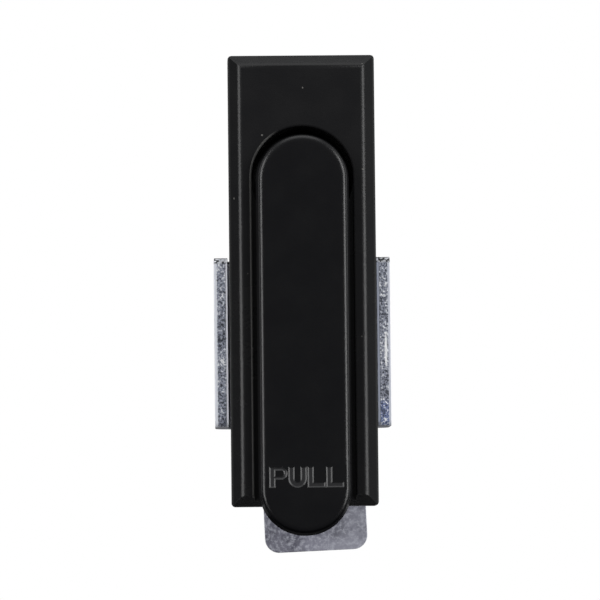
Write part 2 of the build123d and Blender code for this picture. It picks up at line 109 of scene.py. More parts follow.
class Board:
    """A node tree with short ways to add and join nodes."""

    def __init__(self, tree: bpy.types.NodeTree) -> None:
        """Takes the tree to work on.

        Args:
            tree: The node tree of a material, a world or a group.
        """
        self.tree = tree

    def fill(self, node: Node, values: Mapping[str | int, object]) -> Node:
        """Gives a node's inputs links or values.

        Args:
            node: The node.
            values: Output sockets to link, or values, by the input's name or number.

        Returns:
            The same node.
        """
        for name, value in values.items():
            if isinstance(value, Socket):
                self.tree.links.new(value, node.inputs[name])
            else:
                node.inputs[name].default_value = value
        return node

    def add(
        self, kind: str, values: Mapping[str | int, object] | None = None, **settings: object
    ) -> Node:
        """Adds a node.

        Args:
            kind: The node's type name.
            values: What its inputs get.
            settings: Values for the node's own properties.

        Returns:
            The new node.
        """
        node = self.tree.nodes.new(kind)
        for name, value in settings.items():
            setattr(node, name, value)
        return self.fill(node, values or {})

    def math(self, operation: str, *terms: object) -> Socket:
        """Joins terms with a Math node.

        Args:
            operation: The operation's name.
            terms: Sockets or numbers.

        Returns:
            The result's socket.
        """
        values = dict(enumerate(terms))
        return self.add("ShaderNodeMath", values, operation=operation).outputs[0]

    def times(self, *terms: object) -> object:
        """The product of some terms.

        Args:
            terms: Sockets or numbers.

        Returns:
            The product's socket.
        """
        product, *others = terms
        for term in others:
            product = self.math("MULTIPLY", product, term)
        return product

    def spread(self, value: Socket, play: float, middle: float = 0.0) -> Socket:
        """A value between 0 and 1, spread evenly round a middle.

        Args:
            value: The value's socket.
            play: How wide the spread is.
            middle: Its middle.

        Returns:
            The result's socket.
        """
        return self.math("MULTIPLY_ADD", value, play, middle - play / 2)

    def axes(self, vector: Socket) -> Sequence[Socket]:
        """A vector's X, Y and Z.

        Args:
            vector: The vector's socket.

        Returns:
            The three sockets.
        """
        return tuple(self.add("ShaderNodeSeparateXYZ", {0: vector}).outputs)

    def noise(self, place: Socket, scale: object, detail: float, roughness: float) -> Socket:
        """A noise value at a place.

        Args:
            place: The coordinates' socket.
            scale: Cells in a metre.
            detail: Octaves.
            roughness: Share of the fine octaves.

        Returns:
            The noise value's socket.
        """
        values = {"Vector": place, "Scale": scale, "Detail": detail, "Roughness": roughness}
        return self.add("ShaderNodeTexNoise", values).outputs["Fac"]

    def step(self, value: Socket, low: float, high: float) -> Socket:
        """A smooth step of a value from low to high.

        Args:
            value: The value's socket.
            low: Where the step is 0.
            high: Where the step is 1.

        Returns:
            The step's socket.
        """
        values = {"Value": value, "From Min": low, "From Max": high}
        node = self.add("ShaderNodeMapRange", values, interpolation_type="SMOOTHSTEP")
        return node.outputs["Result"]

    def mix(self, share: object, first: object, second: object) -> Socket:
        """A colour between two colours.

        Args:
            share: The share of the second colour.
            first: The first colour.
            second: The second colour.

        Returns:
            The colour's socket.
        """
        node = self.add("ShaderNodeMix", data_type="RGBA")
        numbers = {socket.identifier: number for number, socket in enumerate(node.inputs)}
        first, second = (rgba(c) if isinstance(c, tuple) else c for c in (first, second))
        values = {"Factor_Float": share, "A_Color": first, "B_Color": second}
        self.fill(node, {numbers[name]: value for name, value in values.items()})
        return next(socket for socket in node.outputs if socket.identifier == "Result_Color")

    def bump(self, height: Socket, depth: float) -> Socket:
        """A normal from a height.

        Args:
            height: The height's socket.
            depth: The relief's depth in metres.

        Returns:
            The normal's socket.
        """
        values = {"Distance": depth, "Height": height}
        return self.add("ShaderNodeBump", values).outputs["Normal"]

    def within(self, low: Place, high: Place) -> object:
        """A mask of a box in space.

        Args:
            low: The box's low corner.
            high: The box's high corner.

        Returns:
            The mask's socket, 1 inside the box.
        """
        tests = []
        for value, least, most in zip(self.axes(self.place()), low, high):
            tests += [self.math("GREATER_THAN", value, least), self.math("LESS_THAN", value, most)]
        return self.times(*tests)

    def place(self) -> Socket:
        """The Object coordinates.

        Returns:
            Their socket.
        """
        return self.add("ShaderNodeTexCoord").outputs["Object"]

    def facing(self) -> Sequence[Socket]:
        """The direction that the surface faces, in the object's own axes.

        Returns:
            The sockets of its X, Y and Z.
        """
        return self.axes(self.add("ShaderNodeTexCoord").outputs["Normal"])


class Effect:
    """A shared surface effect: a node group that is built once."""

    name = ""
    inputs: tuple[str, ...] = ()

    def wire(self, board: Board, source: Sockets) -> Sockets:
        """Fills the group.

        Args:
            board: The group's tree.
            source: The group's inputs.

        Returns:
            The group's results.
        """
        raise NotImplementedError

    def group(self) -> bpy.types.NodeTree:
        """The group, made on its first use.

        Returns:
            The group's tree.
        """
        if self.name in bpy.data.node_groups:
            return bpy.data.node_groups[self.name]
        tree = bpy.data.node_groups.new(self.name, "ShaderNodeTree")
        declare = tree.interface.new_socket
        declare("Place", in_out="INPUT", socket_type="NodeSocketVector")
        for label in self.inputs:
            declare(label, in_out="INPUT", socket_type="NodeSocketFloat")
        board = Board(tree)
        results = self.wire(board, board.add("NodeGroupInput").outputs)
        for label in results:
            declare(label, in_out="OUTPUT", socket_type="NodeSocketFloat")
        board.add("NodeGroupOutput", results)
        return tree

    def use(self, board: Board, **values: object) -> Sockets:
        """Places the group in a material.

        Args:
            board: The material's tree.
            values: What its inputs get.

        Returns:
            The group's outputs.
        """
        values["Place"] = board.place()
        return board.add("ShaderNodeGroup", values, node_tree=self.group()).outputs


class EdgeWear(Effect):
    """Where edges are rubbed, broken up by noise."""

    name = "edge_wear"
    inputs = ("Width", "Scale")
    samples = 6
    detail: Span = (4.0, 0.65)
    edge_span: Span = (0.01, 0.14)
    broken_span: Span = (0.5, 0.68)

    def wire(self, board: Board, source: Sockets) -> Sockets:
        """Compares a rounded normal with the plain one and breaks the result up."""
        rounded = board.add("ShaderNodeBevel", {"Radius": source["Width"]}, samples=self.samples)
        plain = board.add("ShaderNodeNewGeometry").outputs["Normal"]
        normals = {0: rounded.outputs["Normal"], 1: plain}
        match = board.add("ShaderNodeVectorMath", normals, operation="DOT_PRODUCT")
        away = board.math("SUBTRACT", 1.0, match.outputs["Value"])
        edge = board.step(away, *self.edge_span)
        noise = board.noise(source["Place"], source["Scale"], *self.detail)
        return {"Mask": board.times(edge, board.step(noise, *self.broken_span)), "Edge": edge}


class Grain(Effect):
    """The fine lumps of a sprayed or cast surface."""

    name = "surface_grain"
    inputs = ("Scale",)
    broad_scale = 0.22
    broad_height = 0.6
    lump_detail: Span = (2.0, 0.5)
    cloud_scale = 0.05
    cloud_detail: Span = (4.0, 0.6)

    def wire(self, board: Board, source: Sockets) -> Sockets:
        """Adds fine lumps to broad waves, and gives a cloud for colour."""
        place, scale = source["Place"], source["Scale"]
        fine = board.noise(place, scale, *self.lump_detail)
        broad = board.noise(place, board.times(scale, self.broad_scale), *self.lump_detail)
        cloud = board.noise(place, board.times(scale, self.cloud_scale), *self.cloud_detail)
        height = board.math("MULTIPLY_ADD", broad, self.broad_height, fine)
        return {"Height": height, "Cloud": cloud}


class Specks(Effect):
    """Sparse specks of dust or small nicks."""

    name = "sparse_specks"
    inputs = ("Scale", "Size", "Share")
    warp_scale = 5.0
    warp_reach: Place = (0.6 * MM, 0.6 * MM, 0.6 * MM)

    def wire(self, board: Board, source: Sockets) -> Sockets:
        """Keeps the middle of a few cells of a cell pattern."""
        place, scale = source["Place"], source["Scale"]
        noise = {"Vector": place, "Scale": board.times(scale, self.warp_scale)}
        warp = board.add("ShaderNodeTexNoise", noise).outputs["Color"]
        terms = {0: warp, 1: self.warp_reach, 2: place}
        shifted = board.add("ShaderNodeVectorMath", terms, operation="MULTIPLY_ADD")
        pattern = {"Vector": shifted.outputs["Vector"], "Scale": scale}
        cells = board.add("ShaderNodeTexVoronoi", pattern).outputs
        near = board.math("LESS_THAN", cells["Distance"], source["Size"])
        chosen = board.math("LESS_THAN", cells["Color"], source["Share"])
        return {"Mask": board.times(near, chosen)}


class Mottle(Effect):
    """The clouds, spangles and scratches of a zinc-plated sheet."""

    name = "zinc_mottle"
    inputs = ("Scale",)
    cloud_detail: Span = (5.0, 0.62)
    spangle_scale = 7.0
    spangle_detail: Span = (3.0, 0.7)
    scratch_scale = 9.0
    scratch_detail: Span = (2.0, 0.5)
    scratch_turn: Place = (0.2, 0.7, 0.3)
    scratch_stretch: Place = (1.0, 1.0, 0.05)
    scratch_span: Span = (0.66, 0.74)

    def wire(self, board: Board, source: Sockets) -> Sockets:
        """Gives broad clouds, small spangles and thin stretched scratches."""
        place, scale = source["Place"], source["Scale"]
        turn = {"Vector": place, "Rotation": self.scratch_turn, "Scale": self.scratch_stretch}
        turned = board.add("ShaderNodeMapping", turn).outputs["Vector"]
        across = board.times(scale, self.scratch_scale)
        lines = board.noise(turned, across, *self.scratch_detail)
        fine = board.times(scale, self.spangle_scale)
        return {
            "Cloud": board.noise(place, scale, *self.cloud_detail),
            "Spangle": board.noise(place, fine, *self.spangle_detail),
            "Scratch": board.step(lines, *self.scratch_span),
        }


class Threads(Effect):
    """The turns of a screw thread round an axis along Y."""

    name = "screw_threads"
    inputs = ("Pitch", "Radius")

    def wire(self, board: Board, source: Sockets) -> Sockets:
        """Turns depth and angle into a saw of turns, inside a radius."""
        x, y, z = board.axes(source["Place"])
        angle = board.math("DIVIDE", board.math("ARCTAN2", z, x), math.tau)
        along = board.math("ADD", board.math("DIVIDE", y, source["Pitch"]), angle)
        reach = board.math("SQRT", board.math("ADD", board.times(x, x), board.times(z, z)))
        inside = board.math("LESS_THAN", reach, source["Radius"])
        return {"Height": board.times(board.math("PINGPONG", along, 0.5), inside)}


EDGE_WEAR = EdgeWear()
GRAIN = Grain()
SPECKS = Specks()
MOTTLE = Mottle()
THREADS = Threads()


class Finish:
    """A procedural material."""

    name = ""

    def dress(self, board: Board, shader: Node) -> None:
        """Wires the finish into its shader.

        Args:
            board: The material's tree.
            shader: The material's Principled BSDF.
        """
        raise NotImplementedError

    def material(self) -> bpy.types.Material:
        """The material, made on its first use.

        Returns:
            The material.
        """
        title = f"{self.name}_finish"
        if title in bpy.data.materials:
            return bpy.data.materials[title]
        made = bpy.data.materials.new(title)
        made.use_nodes = True
        self.dress(Board(made.node_tree), made.node_tree.nodes["Principled BSDF"])
        return made


@dataclass(frozen=True)
class BlackCoat(Finish):
    """Satin black coat on a zinc casting, worn at its edges and a little dusty, with a painted
    highlight along its edges.
    """

    name: str = "black_coat"
    base: Colour = (0.0070, 0.0070, 0.0076)
    cloud: Colour = (0.0083, 0.0082, 0.0087)
    cloud_span: Span = (0.35, 0.7)
    # colour of worn edges, also used for the painted highlights along edges
    wear_and_edge_highlight: Colour = (0.05, 0.05, 0.049)
    dust: Colour = (0.30, 0.29, 0.27)
    dust_share: float = 0.3
    gloss: float = 0.27
    gloss_play: float = 0.08
    specular: float = 0.2
    grain_scale: float = 2600.0
    grain_depth: float = 0.024 * MM
    speck_scale: float = 220.0
    speck_size: float = 0.045
    speck_share: float = 0.5
    wear_width: float = 0.4 * MM
    wear_scale: float = 900.0
    wear_share: float = 0.4
    # share of the painted highlight along every edge
    painted_edge_highlight_share: float = 0.3

    def tint(self, board: Board, colour: Socket) -> Socket:
        """Adds the tones of single places.

        Args:
            board: The material's tree.
            colour: The coat's colour.

        Returns:
            The new colour.
        """
        return colour

    def dress(self, board: Board, shader: Node) -> None:
        """Lays clouds, a painted edge highlight, worn edges and dust over the black."""
        grain = GRAIN.use(board, Scale=self.grain_scale)
        wear = EDGE_WEAR.use(board, Width=self.wear_width, Scale=self.wear_scale)
        specks = SPECKS.use(
            board, Scale=self.speck_scale, Size=self.speck_size, Share=self.speck_share
        )
        dust = board.times(specks["Mask"], self.dust_share)
        colour = board.mix(board.step(grain["Cloud"], *self.cloud_span), self.base, self.cloud)
        colour = self.tint(board, colour)
        # painted highlight: an even lightening along every edge
        colour = board.mix(board.times(wear["Edge"], self.painted_edge_highlight_share), colour, self.wear_and_edge_highlight)
        colour = board.mix(board.times(wear["Mask"], self.wear_share), colour, self.wear_and_edge_highlight)
        rough = board.spread(grain["Cloud"], self.gloss_play, self.gloss)
        values = {
            "Base Color": board.mix(dust, colour, self.dust),
            "Roughness": board.math("ADD", rough, dust),
            "Specular IOR Level": self.specular,
            "Normal": board.bump(grain["Height"], self.grain_depth),
        }
        board.fill(shader, values)


@dataclass(frozen=True)
class BezelCoat(BlackCoat):
    """The coat of the bezel, with painted highlights along its outer sides and along the left edge
    of its recess.
    """

    # painted highlight on the left edge of the recess
    painted_rim_highlight: Colour = (0.095, 0.094, 0.091)
    rim_reach: float = 11.4 * MM
    rim_half: float = 0.35 * MM
    rim_softness: float = 0.4
    rim_centre: float = 0.8 * MM
    rim_depth: float = -8.4 * MM
    rim_left: Span = (-5.0 * MM, -9.0 * MM)
    rim_above: Span = (-72.0 * MM, -68.0 * MM)
    # painted highlight along the bezel's outer left and right sides
    outline_highlight: Span = (15.65 * MM, 16.2 * MM)
    outline_highlight_share: float = 0.6

    def tint(self, board: Board, colour: Socket) -> Socket:
        """Paints highlights on the recess's left edge and along the outer sides."""
        x, y, z = board.axes(board.place())
        over = board.math("MAXIMUM", board.math("SUBTRACT", z, self.rim_centre), 0.0)
        reach = board.math("SQRT", board.math("ADD", board.times(x, x), board.times(over, over)))
        away = board.math("ABSOLUTE", board.math("SUBTRACT", reach, self.rim_reach))
        # painted highlight on the recess's left edge
        painted_rim_highlight = board.times(
            board.step(away, self.rim_half, self.rim_half * self.rim_softness),
            board.math("LESS_THAN", y, self.rim_depth),
            board.step(x, *self.rim_left),
            board.step(z, *self.rim_above),
        )
        colour = board.mix(painted_rim_highlight, colour, self.painted_rim_highlight)
        # painted highlight along the outer sides
        outline_highlight = board.step(board.math("ABSOLUTE", x), *self.outline_highlight)
        return board.mix(board.times(outline_highlight, self.outline_highlight_share), colour, self.wear_and_edge_highlight)


@dataclass(frozen=True)
class LeverCoat(BlackCoat):
    """The lever's smoother coat, with broad light lines, painted sheen on its steep sides, matt
    letters and a matt underside.
    """

    name: str = "lever_coat"
    base: Colour = (0.0026, 0.0026, 0.0032)
    cloud: Colour = (0.0032, 0.0032, 0.0037)
    gloss: float = 0.25
    specular: float = 0.38
    painted_edge_highlight_share: float = 0.0
    grain_depth: float = 0.008 * MM
    speck_share: float = 0.05
    # painted sheen: the colour that lightens the steep side walls
    side: Colour = (0.014, 0.014, 0.015)
    side_sheen_span: Span = (0.85, 0.97)
    letters_from: Place = (-8.6 * MM, -12.98 * MM, -68.6 * MM)
    letters_to: Place = (9.0 * MM, -12.70 * MM, -63.0 * MM)
    ground: Colour = (0.012, 0.012, 0.013)
    ground_roughness: float = 0.12
    soft_radius: float = 1.4 * MM
    soft_samples: int = 8
    underside_span: Span = (-0.6, -0.25)
    underside_shine: float = 0.0015

    def tint(self, board: Board, colour: Socket) -> Socket:
        """Paints sheen on the steep side walls and lightens the letters' ground."""
        # painted sheen on the steep side walls
        side_sheen = board.step(board.math("ABSOLUTE", board.facing()[0]), *self.side_sheen_span)
        colour = board.mix(side_sheen, colour, self.side)
        return board.mix(board.within(self.letters_from, self.letters_to), colour, self.ground)

    def dress(self, board: Board, shader: Node) -> None:
        """Rounds the normals beside the letters and dulls their ground and the underside."""
        super().dress(board, shader)
        (left, _, low), (right, _, high) = self.letters_from, self.letters_to
        letters = board.within((left, -1.0, low), (right, 1.0, high))
        soft = board.add("ShaderNodeBevel", {"Radius": self.soft_radius}, samples=self.soft_samples)
        plain = board.add("ShaderNodeNewGeometry").outputs["Normal"]
        relief = shader.inputs["Normal"].links[0].from_node
        board.fill(relief, {"Normal": board.mix(letters, soft.outputs["Normal"], plain)})
        sunk = board.within(self.letters_from, self.letters_to)
        rough = shader.inputs["Roughness"].links[0].from_socket
        lit = board.step(board.facing()[2], *self.underside_span)
        shine = board.math("MAXIMUM", lit, self.underside_shine)
        values = {
            "Roughness": board.math("MULTIPLY_ADD", sunk, self.ground_roughness, rough),
            "Specular IOR Level": board.times(shine, self.specular),
        }
        board.fill(shader, values)


@dataclass(frozen=True)
class ZincPlate(Finish):
    """Mottled zinc plating on sheet steel, which may have painted shade on its left side and
    painted light on its right.
    """

    name: str = "zinc_plate"
    dark: Colour = (0.10, 0.10, 0.13)
    middle: Colour = (0.255, 0.255, 0.31)
    light: Colour = (0.46, 0.47, 0.53)
    cloud_span: Span = (0.36, 0.6)
    fine_span: Span = (0.42, 0.7)
    fine_share: float = 0.7
    scratch_share: float = 0.35
    metallic: float = 0.3
    gloss: float = 0.42
    gloss_play: float = 0.24
    scale: float = 160.0
    spangle_depth: float = 0.03 * MM
    wear_width: float = 0.3 * MM
    wear_scale: float = 1200.0
    wear_share: float = 0.5
    # painted shade on the left side and painted light on the right side
    painted_shade_span: Span | None = None
    painted_shade_share: float = 0.55
    painted_light_span: Span = (2.0 * MM, 11.0 * MM)
    painted_light_share: float = 0.22

    def colours(self, board: Board, mottle: Sockets) -> Socket:
        """The plate's colour.

        Args:
            board: The material's tree.
            mottle: The mottle group's outputs.

        Returns:
            The colour's socket.
        """
        colour = board.mix(board.step(mottle["Cloud"], *self.cloud_span), self.dark, self.middle)
        if self.painted_shade_span:
            # painted shade darkens the left side, painted light brightens the right side
            x = board.axes(board.place())[0]
            painted_shade = board.times(board.step(x, *self.painted_shade_span), self.painted_shade_share)
            bright = board.times(board.step(x, *self.painted_light_span), self.painted_light_share)
            colour = board.mix(bright, board.mix(painted_shade, colour, self.dark), self.light)
        fine = board.times(board.step(mottle["Spangle"], *self.fine_span), self.fine_share)
        colour = board.mix(fine, colour, self.light)
        return board.mix(board.times(mottle["Scratch"], self.scratch_share), colour, self.light)

    def dress(self, board: Board, shader: Node) -> None:
        """Mixes clouds, spangles and scratches, and brightens rubbed edges."""
        mottle = MOTTLE.use(board, Scale=self.scale)
        wear = EDGE_WEAR.use(board, Width=self.wear_width, Scale=self.wear_scale)
        worn = board.times(wear["Mask"], self.wear_share)
        values = {
            "Base Color": board.mix(worn, self.colours(board, mottle), self.light),
            "Metallic": self.metallic,
            "Roughness": board.spread(mottle["Spangle"], self.gloss_play, self.gloss),
            "Normal": board.bump(mottle["Spangle"], self.spangle_depth),
        }
        board.fill(shader, values)


@dataclass(frozen=True)
class ShearedSheet(ZincPlate):
    """Plated sheet whose cut edges, which face the front, are torn and bright in spots, with
    painted shade on the right leg's smooth rolls.
    """

    name: str = "bracket_steel"
    metallic: float = 0.1
    gloss_play: float = 0.2
    torn_dark: Colour = (0.035, 0.04, 0.055)
    torn_middle: Colour = (0.34, 0.37, 0.46)
    torn_light: Colour = (0.95, 0.96, 0.98)
    roll: Colour = (0.86, 0.88, 0.95)
    blue: Colour = (0.16, 0.22, 0.46)
    stained: Colour = (0.014, 0.015, 0.019)
    front_span: Span = (0.3, 0.5)
    leg_middle: float = 18.1 * MM
    torn_from: Span = (-0.95 * MM, -0.85 * MM)
    torn_to: Span = (1.05 * MM, 0.95 * MM)
    broad_detail: Span = (2.0, 0.55)
    ragged_scale: float = 3500.0
    ragged_play: float = 0.3 * MM
    torn_scale: float = 1900.0
    torn_detail: Span = (3.0, 0.8)
    torn_depth: float = 0.22 * MM
    spangle_height: float = 0.12
    patch_scale: float = 450.0
    patch_play: float = 0.3
    dark_span: Span = (0.40, 0.50)
    light_span: Span = (0.56, 0.64)
    plate_share: float = 0.5
    blue_span: Span = (-47.8 * MM, -49.3 * MM)
    blue_share: float = 0.85
    right_dark_share: float = 0.15
    # painted shade on the right leg's outer and inner rolls
    right_outer_roll_shade: float = 0.45
    right_inner_roll_shade: float = 0.5
    glare_place: Span = (18.55 * MM, -37.3 * MM)
    glare_reach: Span = (0.34 * MM, 4.0 * MM)
    glare_span: Span = (1.1, 0.5)
    end_span: Span = (-17.85 * MM, -17.4 * MM)
    end_light_share: float = 0.5
    blot_scale: float = 1500.0
    blot_detail: Span = (1.0, 0.5)
    blot_span: Span = (0.46, 0.54)
    burr_span: Span = (-16.67 * MM, -16.51 * MM)
    burr_share: float = 0.9

    def torn(self, board: Board, tear: Socket, cloud: Socket) -> Socket:
        """The colour of the torn band.

        Args:
            board: The material's tree.
            tear: The tear's height.
            cloud: The plating's cloud.

        Returns:
            The colour's socket.
        """
        x, _, z = board.axes(board.place())
        right = board.math("GREATER_THAN", x, 0.0)
        middle = board.mix(board.times(cloud, self.plate_share), self.torn_middle, self.middle)
        bluish = board.times(right, board.step(z, *self.blue_span), self.blue_share)
        middle = board.mix(bluish, middle, self.blue)
        middle = board.mix(board.times(right, self.right_dark_share), middle, self.torn_dark)
        torn = board.mix(board.step(tear, *self.dark_span), self.torn_dark, middle)
        torn = board.mix(board.step(tear, *self.light_span), torn, self.torn_light)
        parts = [
            board.math("DIVIDE", board.math("SUBTRACT", value, centre), reach)
            for value, centre, reach in zip((x, z), self.glare_place, self.glare_reach)
        ]
        away = board.math("ADD", *(board.times(part, part) for part in parts))
        return board.mix(board.step(away, *self.glare_span), torn, self.torn_light)

    def mark_end(self, board: Board, edge: Socket) -> Socket:
        """Marks the legs' upper ends with bright and dark spots and a dark burr.

        Args:
            board: The material's tree.
            edge: The edge's colour.

        Returns:
            The new colour.
        """
        z = board.axes(board.place())[2]
        end = board.step(z, *self.end_span)
        spots = board.noise(board.place(), self.blot_scale, *self.blot_detail)
        blot = board.step(spots, *self.blot_span)
        clear = board.times(end, board.math("SUBTRACT", 1.0, blot), self.end_light_share)
        burr = board.times(board.step(z, *self.burr_span), self.burr_share)
        dark = board.math("MAXIMUM", board.times(end, blot), burr)
        return board.mix(dark, board.mix(clear, edge, self.torn_light), self.stained)

    def dress(self, board: Board, shader: Node) -> None:
        """Gives the faces plating and the front edges a torn band between two smooth rolls, with
        painted shade on the right leg's rolls.
        """
        place = board.place()
        mottle = MOTTLE.use(board, Scale=self.scale)
        front = board.step(board.times(board.facing()[1], -1.0), *self.front_span)
        x = board.axes(place)[0]
        offset = board.math("SUBTRACT", board.math("ABSOLUTE", x), self.leg_middle)
        ragged = board.noise(place, self.ragged_scale, *self.broad_detail)
        ragged = board.spread(ragged, self.ragged_play)
        across = board.math("ADD", board.times(board.math("SIGN", x), offset), ragged)
        band = board.times(board.step(across, *self.torn_from), board.step(across, *self.torn_to))
        patch = board.noise(place, self.patch_scale, *self.broad_detail)
        patch = board.spread(patch, self.patch_play)
        tear = board.noise(place, self.torn_scale, *self.torn_detail)
        tear = board.math("ADD", tear, patch)
        # painted shade: the right leg's rolls are darkened towards the torn middle colour, the
        # inner roll more
        inner = board.math("LESS_THAN", across, 0.0)
        painted_shade = board.math("MULTIPLY_ADD", inner, self.right_inner_roll_shade, self.right_outer_roll_shade)
        painted_shade = board.times(painted_shade, board.math("GREATER_THAN", x, 0.0))
        roll = board.mix(painted_shade, self.roll, self.torn_middle)
        edge = board.mix(band, roll, self.torn(board, tear, mottle["Cloud"]))
        relief = board.times(tear, front, band)
        height = board.math("MULTIPLY_ADD", mottle["Spangle"], self.spangle_height, relief)
        plate = self.colours(board, mottle)
        values = {
            "Base Color": board.mix(front, plate, self.mark_end(board, edge)),
            "Metallic": self.metallic,
            "Roughness": board.spread(mottle["Spangle"], self.gloss_play, self.gloss),
            "Normal": board.bump(height, self.torn_depth),
        }
        board.fill(shader, values)


@dataclass(frozen=True)
class TurnedSteel(Finish):
    """Bright plated steel of pins, nuts and screws, with turning marks and threads."""

    name: str = "fastener_steel"
    base: Colour = (0.46, 0.47, 0.50)
    stain: Colour = (0.30, 0.30, 0.31)
    stain_span: Span = (0.42, 0.66)
    metallic: float = 0.9
    gloss: float = 0.33
    gloss_play: float = 0.22
    grain_scale: float = 5200.0
    grain_height: float = 0.02
    relief_depth: float = 0.5 * MM
    thread_pitch: float = 0.0
    thread_radius: float = 0.0
    coat: Colour = (0.006, 0.006, 0.0065)
    coated_until: float | None = None

    def dress(self, board: Board, shader: Node) -> None:
        """Adds faint stains, fine tool marks and, where it has them, a coat and threads."""
        grain = GRAIN.use(board, Scale=self.grain_scale)
        colour = board.mix(board.step(grain["Cloud"], *self.stain_span), self.base, self.stain)
        metallic: object = self.metallic
        if self.coated_until is not None:
            depth = board.axes(board.place())[1]
            bare = board.math("GREATER_THAN", depth, self.coated_until)
            colour = board.mix(bare, self.coat, colour)
            metallic = board.times(bare, self.metallic)
        height = board.times(grain["Height"], self.grain_height)
        if self.thread_pitch:
            turns = THREADS.use(board, Pitch=self.thread_pitch, Radius=self.thread_radius)
            height = board.math("ADD", height, turns["Height"])
        values = {
            "Base Color": colour,
            "Metallic": metallic,
            "Roughness": board.spread(grain["Cloud"], self.gloss_play, self.gloss),
            "Normal": board.bump(height, self.relief_depth),
        }
        board.fill(shader, values)


@dataclass(frozen=True)
class Moulded(Finish):
    """Matt rubber or plastic with a faint moulded grain."""

    name: str = "rubber"
    base: Colour = (0.02, 0.02, 0.02)
    cloud: Colour = (0.032, 0.031, 0.030)
    cloud_span: Span = (0.35, 0.7)
    gloss: float = 0.7
    gloss_play: float = 0.2
    specular: float = 0.3
    scale: float = 3200.0
    depth: float = 0.04 * MM

    def dress(self, board: Board, shader: Node) -> None:
        """Mixes two near shades and roughens them."""
        grain = GRAIN.use(board, Scale=self.scale)
        share = board.step(grain["Cloud"], *self.cloud_span)
        values = {
            "Base Color": board.mix(share, self.base, self.cloud),
            "Roughness": board.spread(grain["Cloud"], self.gloss_play, self.gloss),
            "Specular IOR Level": self.specular,
            "Normal": board.bump(grain["Height"], self.depth),
        }
        board.fill(shader, values)


FINISHES: dict[Slot, Finish] = {
    Slot.BLACK_COAT: BezelCoat(),
    Slot.LEVER_COAT: LeverCoat(),
    Slot.GASKET: Moulded(name="gasket_rubber"),
    Slot.PAD: Moulded(name="pad_rubber", base=(0.03, 0.03, 0.03), cloud=(0.045, 0.044, 0.042)),
    Slot.SEAL: Moulded(name="seal_rubber", base=(0.015, 0.015, 0.015), gloss=0.45),
    Slot.PIN: TurnedSteel(name="pin_steel", base=(0.5, 0.5, 0.51), gloss=0.27),
    Slot.SPRING: TurnedSteel(name="spring_steel", base=(0.35, 0.35, 0.36), stain=(0.2, 0.2, 0.2)),
    Slot.SPINDLE: TurnedSteel(
        name="spindle_zinc",
        base=(0.42, 0.43, 0.46),
        gloss=0.41,
        thread_pitch=1.0 * MM,
        thread_radius=3.05 * MM,
        coated_until=8.3 * MM,
    ),
    Slot.WASHER: Moulded(
        name="washer_polymer", base=(0.75, 0.73, 0.68), cloud=(0.7, 0.68, 0.62), gloss=0.5
    ),
    Slot.STOP: ZincPlate(name="plated_steel", middle=(0.34, 0.35, 0.39)),
    # the tongue gets painted shade on its left and painted light on its right
    Slot.TONGUE: ZincPlate(name="tongue_steel", painted_shade_span=(6.5 * MM, -9.5 * MM)),
    Slot.BRACKET: ShearedSheet(),
    Slot.FASTENER: TurnedSteel(),
}


def put_in_scene(name: str, data: bpy.types.ID) -> Piece:
    """Links data to the scene as a piece at the origin.

    Args:
        name: The piece's name.
        data: Its mesh, camera or lamp.

    Returns:
        The piece.
    """
    piece = bpy.data.objects.new(name, data)
    bpy.context.scene.collection.objects.link(piece)
    return piece


def settle(piece: Piece) -> Piece:
    """Turns a piece's modifiers into its mesh.

    Args:
        piece: The piece.

    Returns:
        The same piece, with no modifiers.
    """
    graph = bpy.context.evaluated_depsgraph_get()
    mesh = bpy.data.meshes.new_from_object(piece.evaluated_get(graph), depsgraph=graph)
    piece.modifiers.clear()
    piece.data = mesh
    return piece


def shade(mesh: bpy.types.Mesh, angle: float) -> None:
    """Shades a mesh smooth, with edges above an angle kept sharp.

    Args:
        mesh: The mesh.
        angle: The angle in degrees.
    """
    shape = bmesh.new()
    shape.from_mesh(mesh)
    for face in shape.faces:
        face.smooth = True
    for edge in shape.edges:
        edge.smooth = len(edge.link_faces) == 2 and edge.calc_face_angle() < math.radians(angle)
    shape.to_mesh(mesh)
    shape.free()


@dataclass(frozen=True)
class Rounding:
    """How a CAD node's sharp edges are broken on its dressed copy."""

    width: float = 0.2 * MM
    segments: int = 2
    angle: float = 32.0
    merge_reach: float = 0.002 * MM
    flat_angle: float = 0.6

    def copy_of(self, node: str, name: str) -> Piece:
        """Copies a node, joins its loose triangles and breaks its edges.

        Args:
            node: The CAD node.
            name: The new piece's name.

        Returns:
            The new piece.
        """
        shape = bmesh.new()
        shape.from_mesh(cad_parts[node].data)
        bmesh.ops.remove_doubles(shape, verts=shape.verts, dist=self.merge_reach)
        bmesh.ops.dissolve_limit(
            shape, angle_limit=math.radians(self.flat_angle), verts=shape.verts, edges=shape.edges
        )
        mesh = bpy.data.meshes.new(name)
        shape.to_mesh(mesh)
        shape.free()
        piece = put_in_scene(name, mesh)
        self.soften(piece)
        return piece

    def soften(self, piece: Piece) -> None:
        """Breaks a piece's sharp edges and evens its shading.

        Args:
            piece: The piece.
        """
        if self.width > 0:
            broken = piece.modifiers.new("broken_edges", "BEVEL")
            broken.width = self.width
            broken.segments = self.segments
            broken.limit_method = "ANGLE"
            broken.angle_limit = math.radians(self.angle)
            broken.harden_normals = False
            broken.use_clamp_overlap = True
            settle(piece)
        shade(piece.data, self.angle)
        even = piece.modifiers.new("even_shading", "WEIGHTED_NORMAL")
        even.keep_sharp = True
        settle(piece)


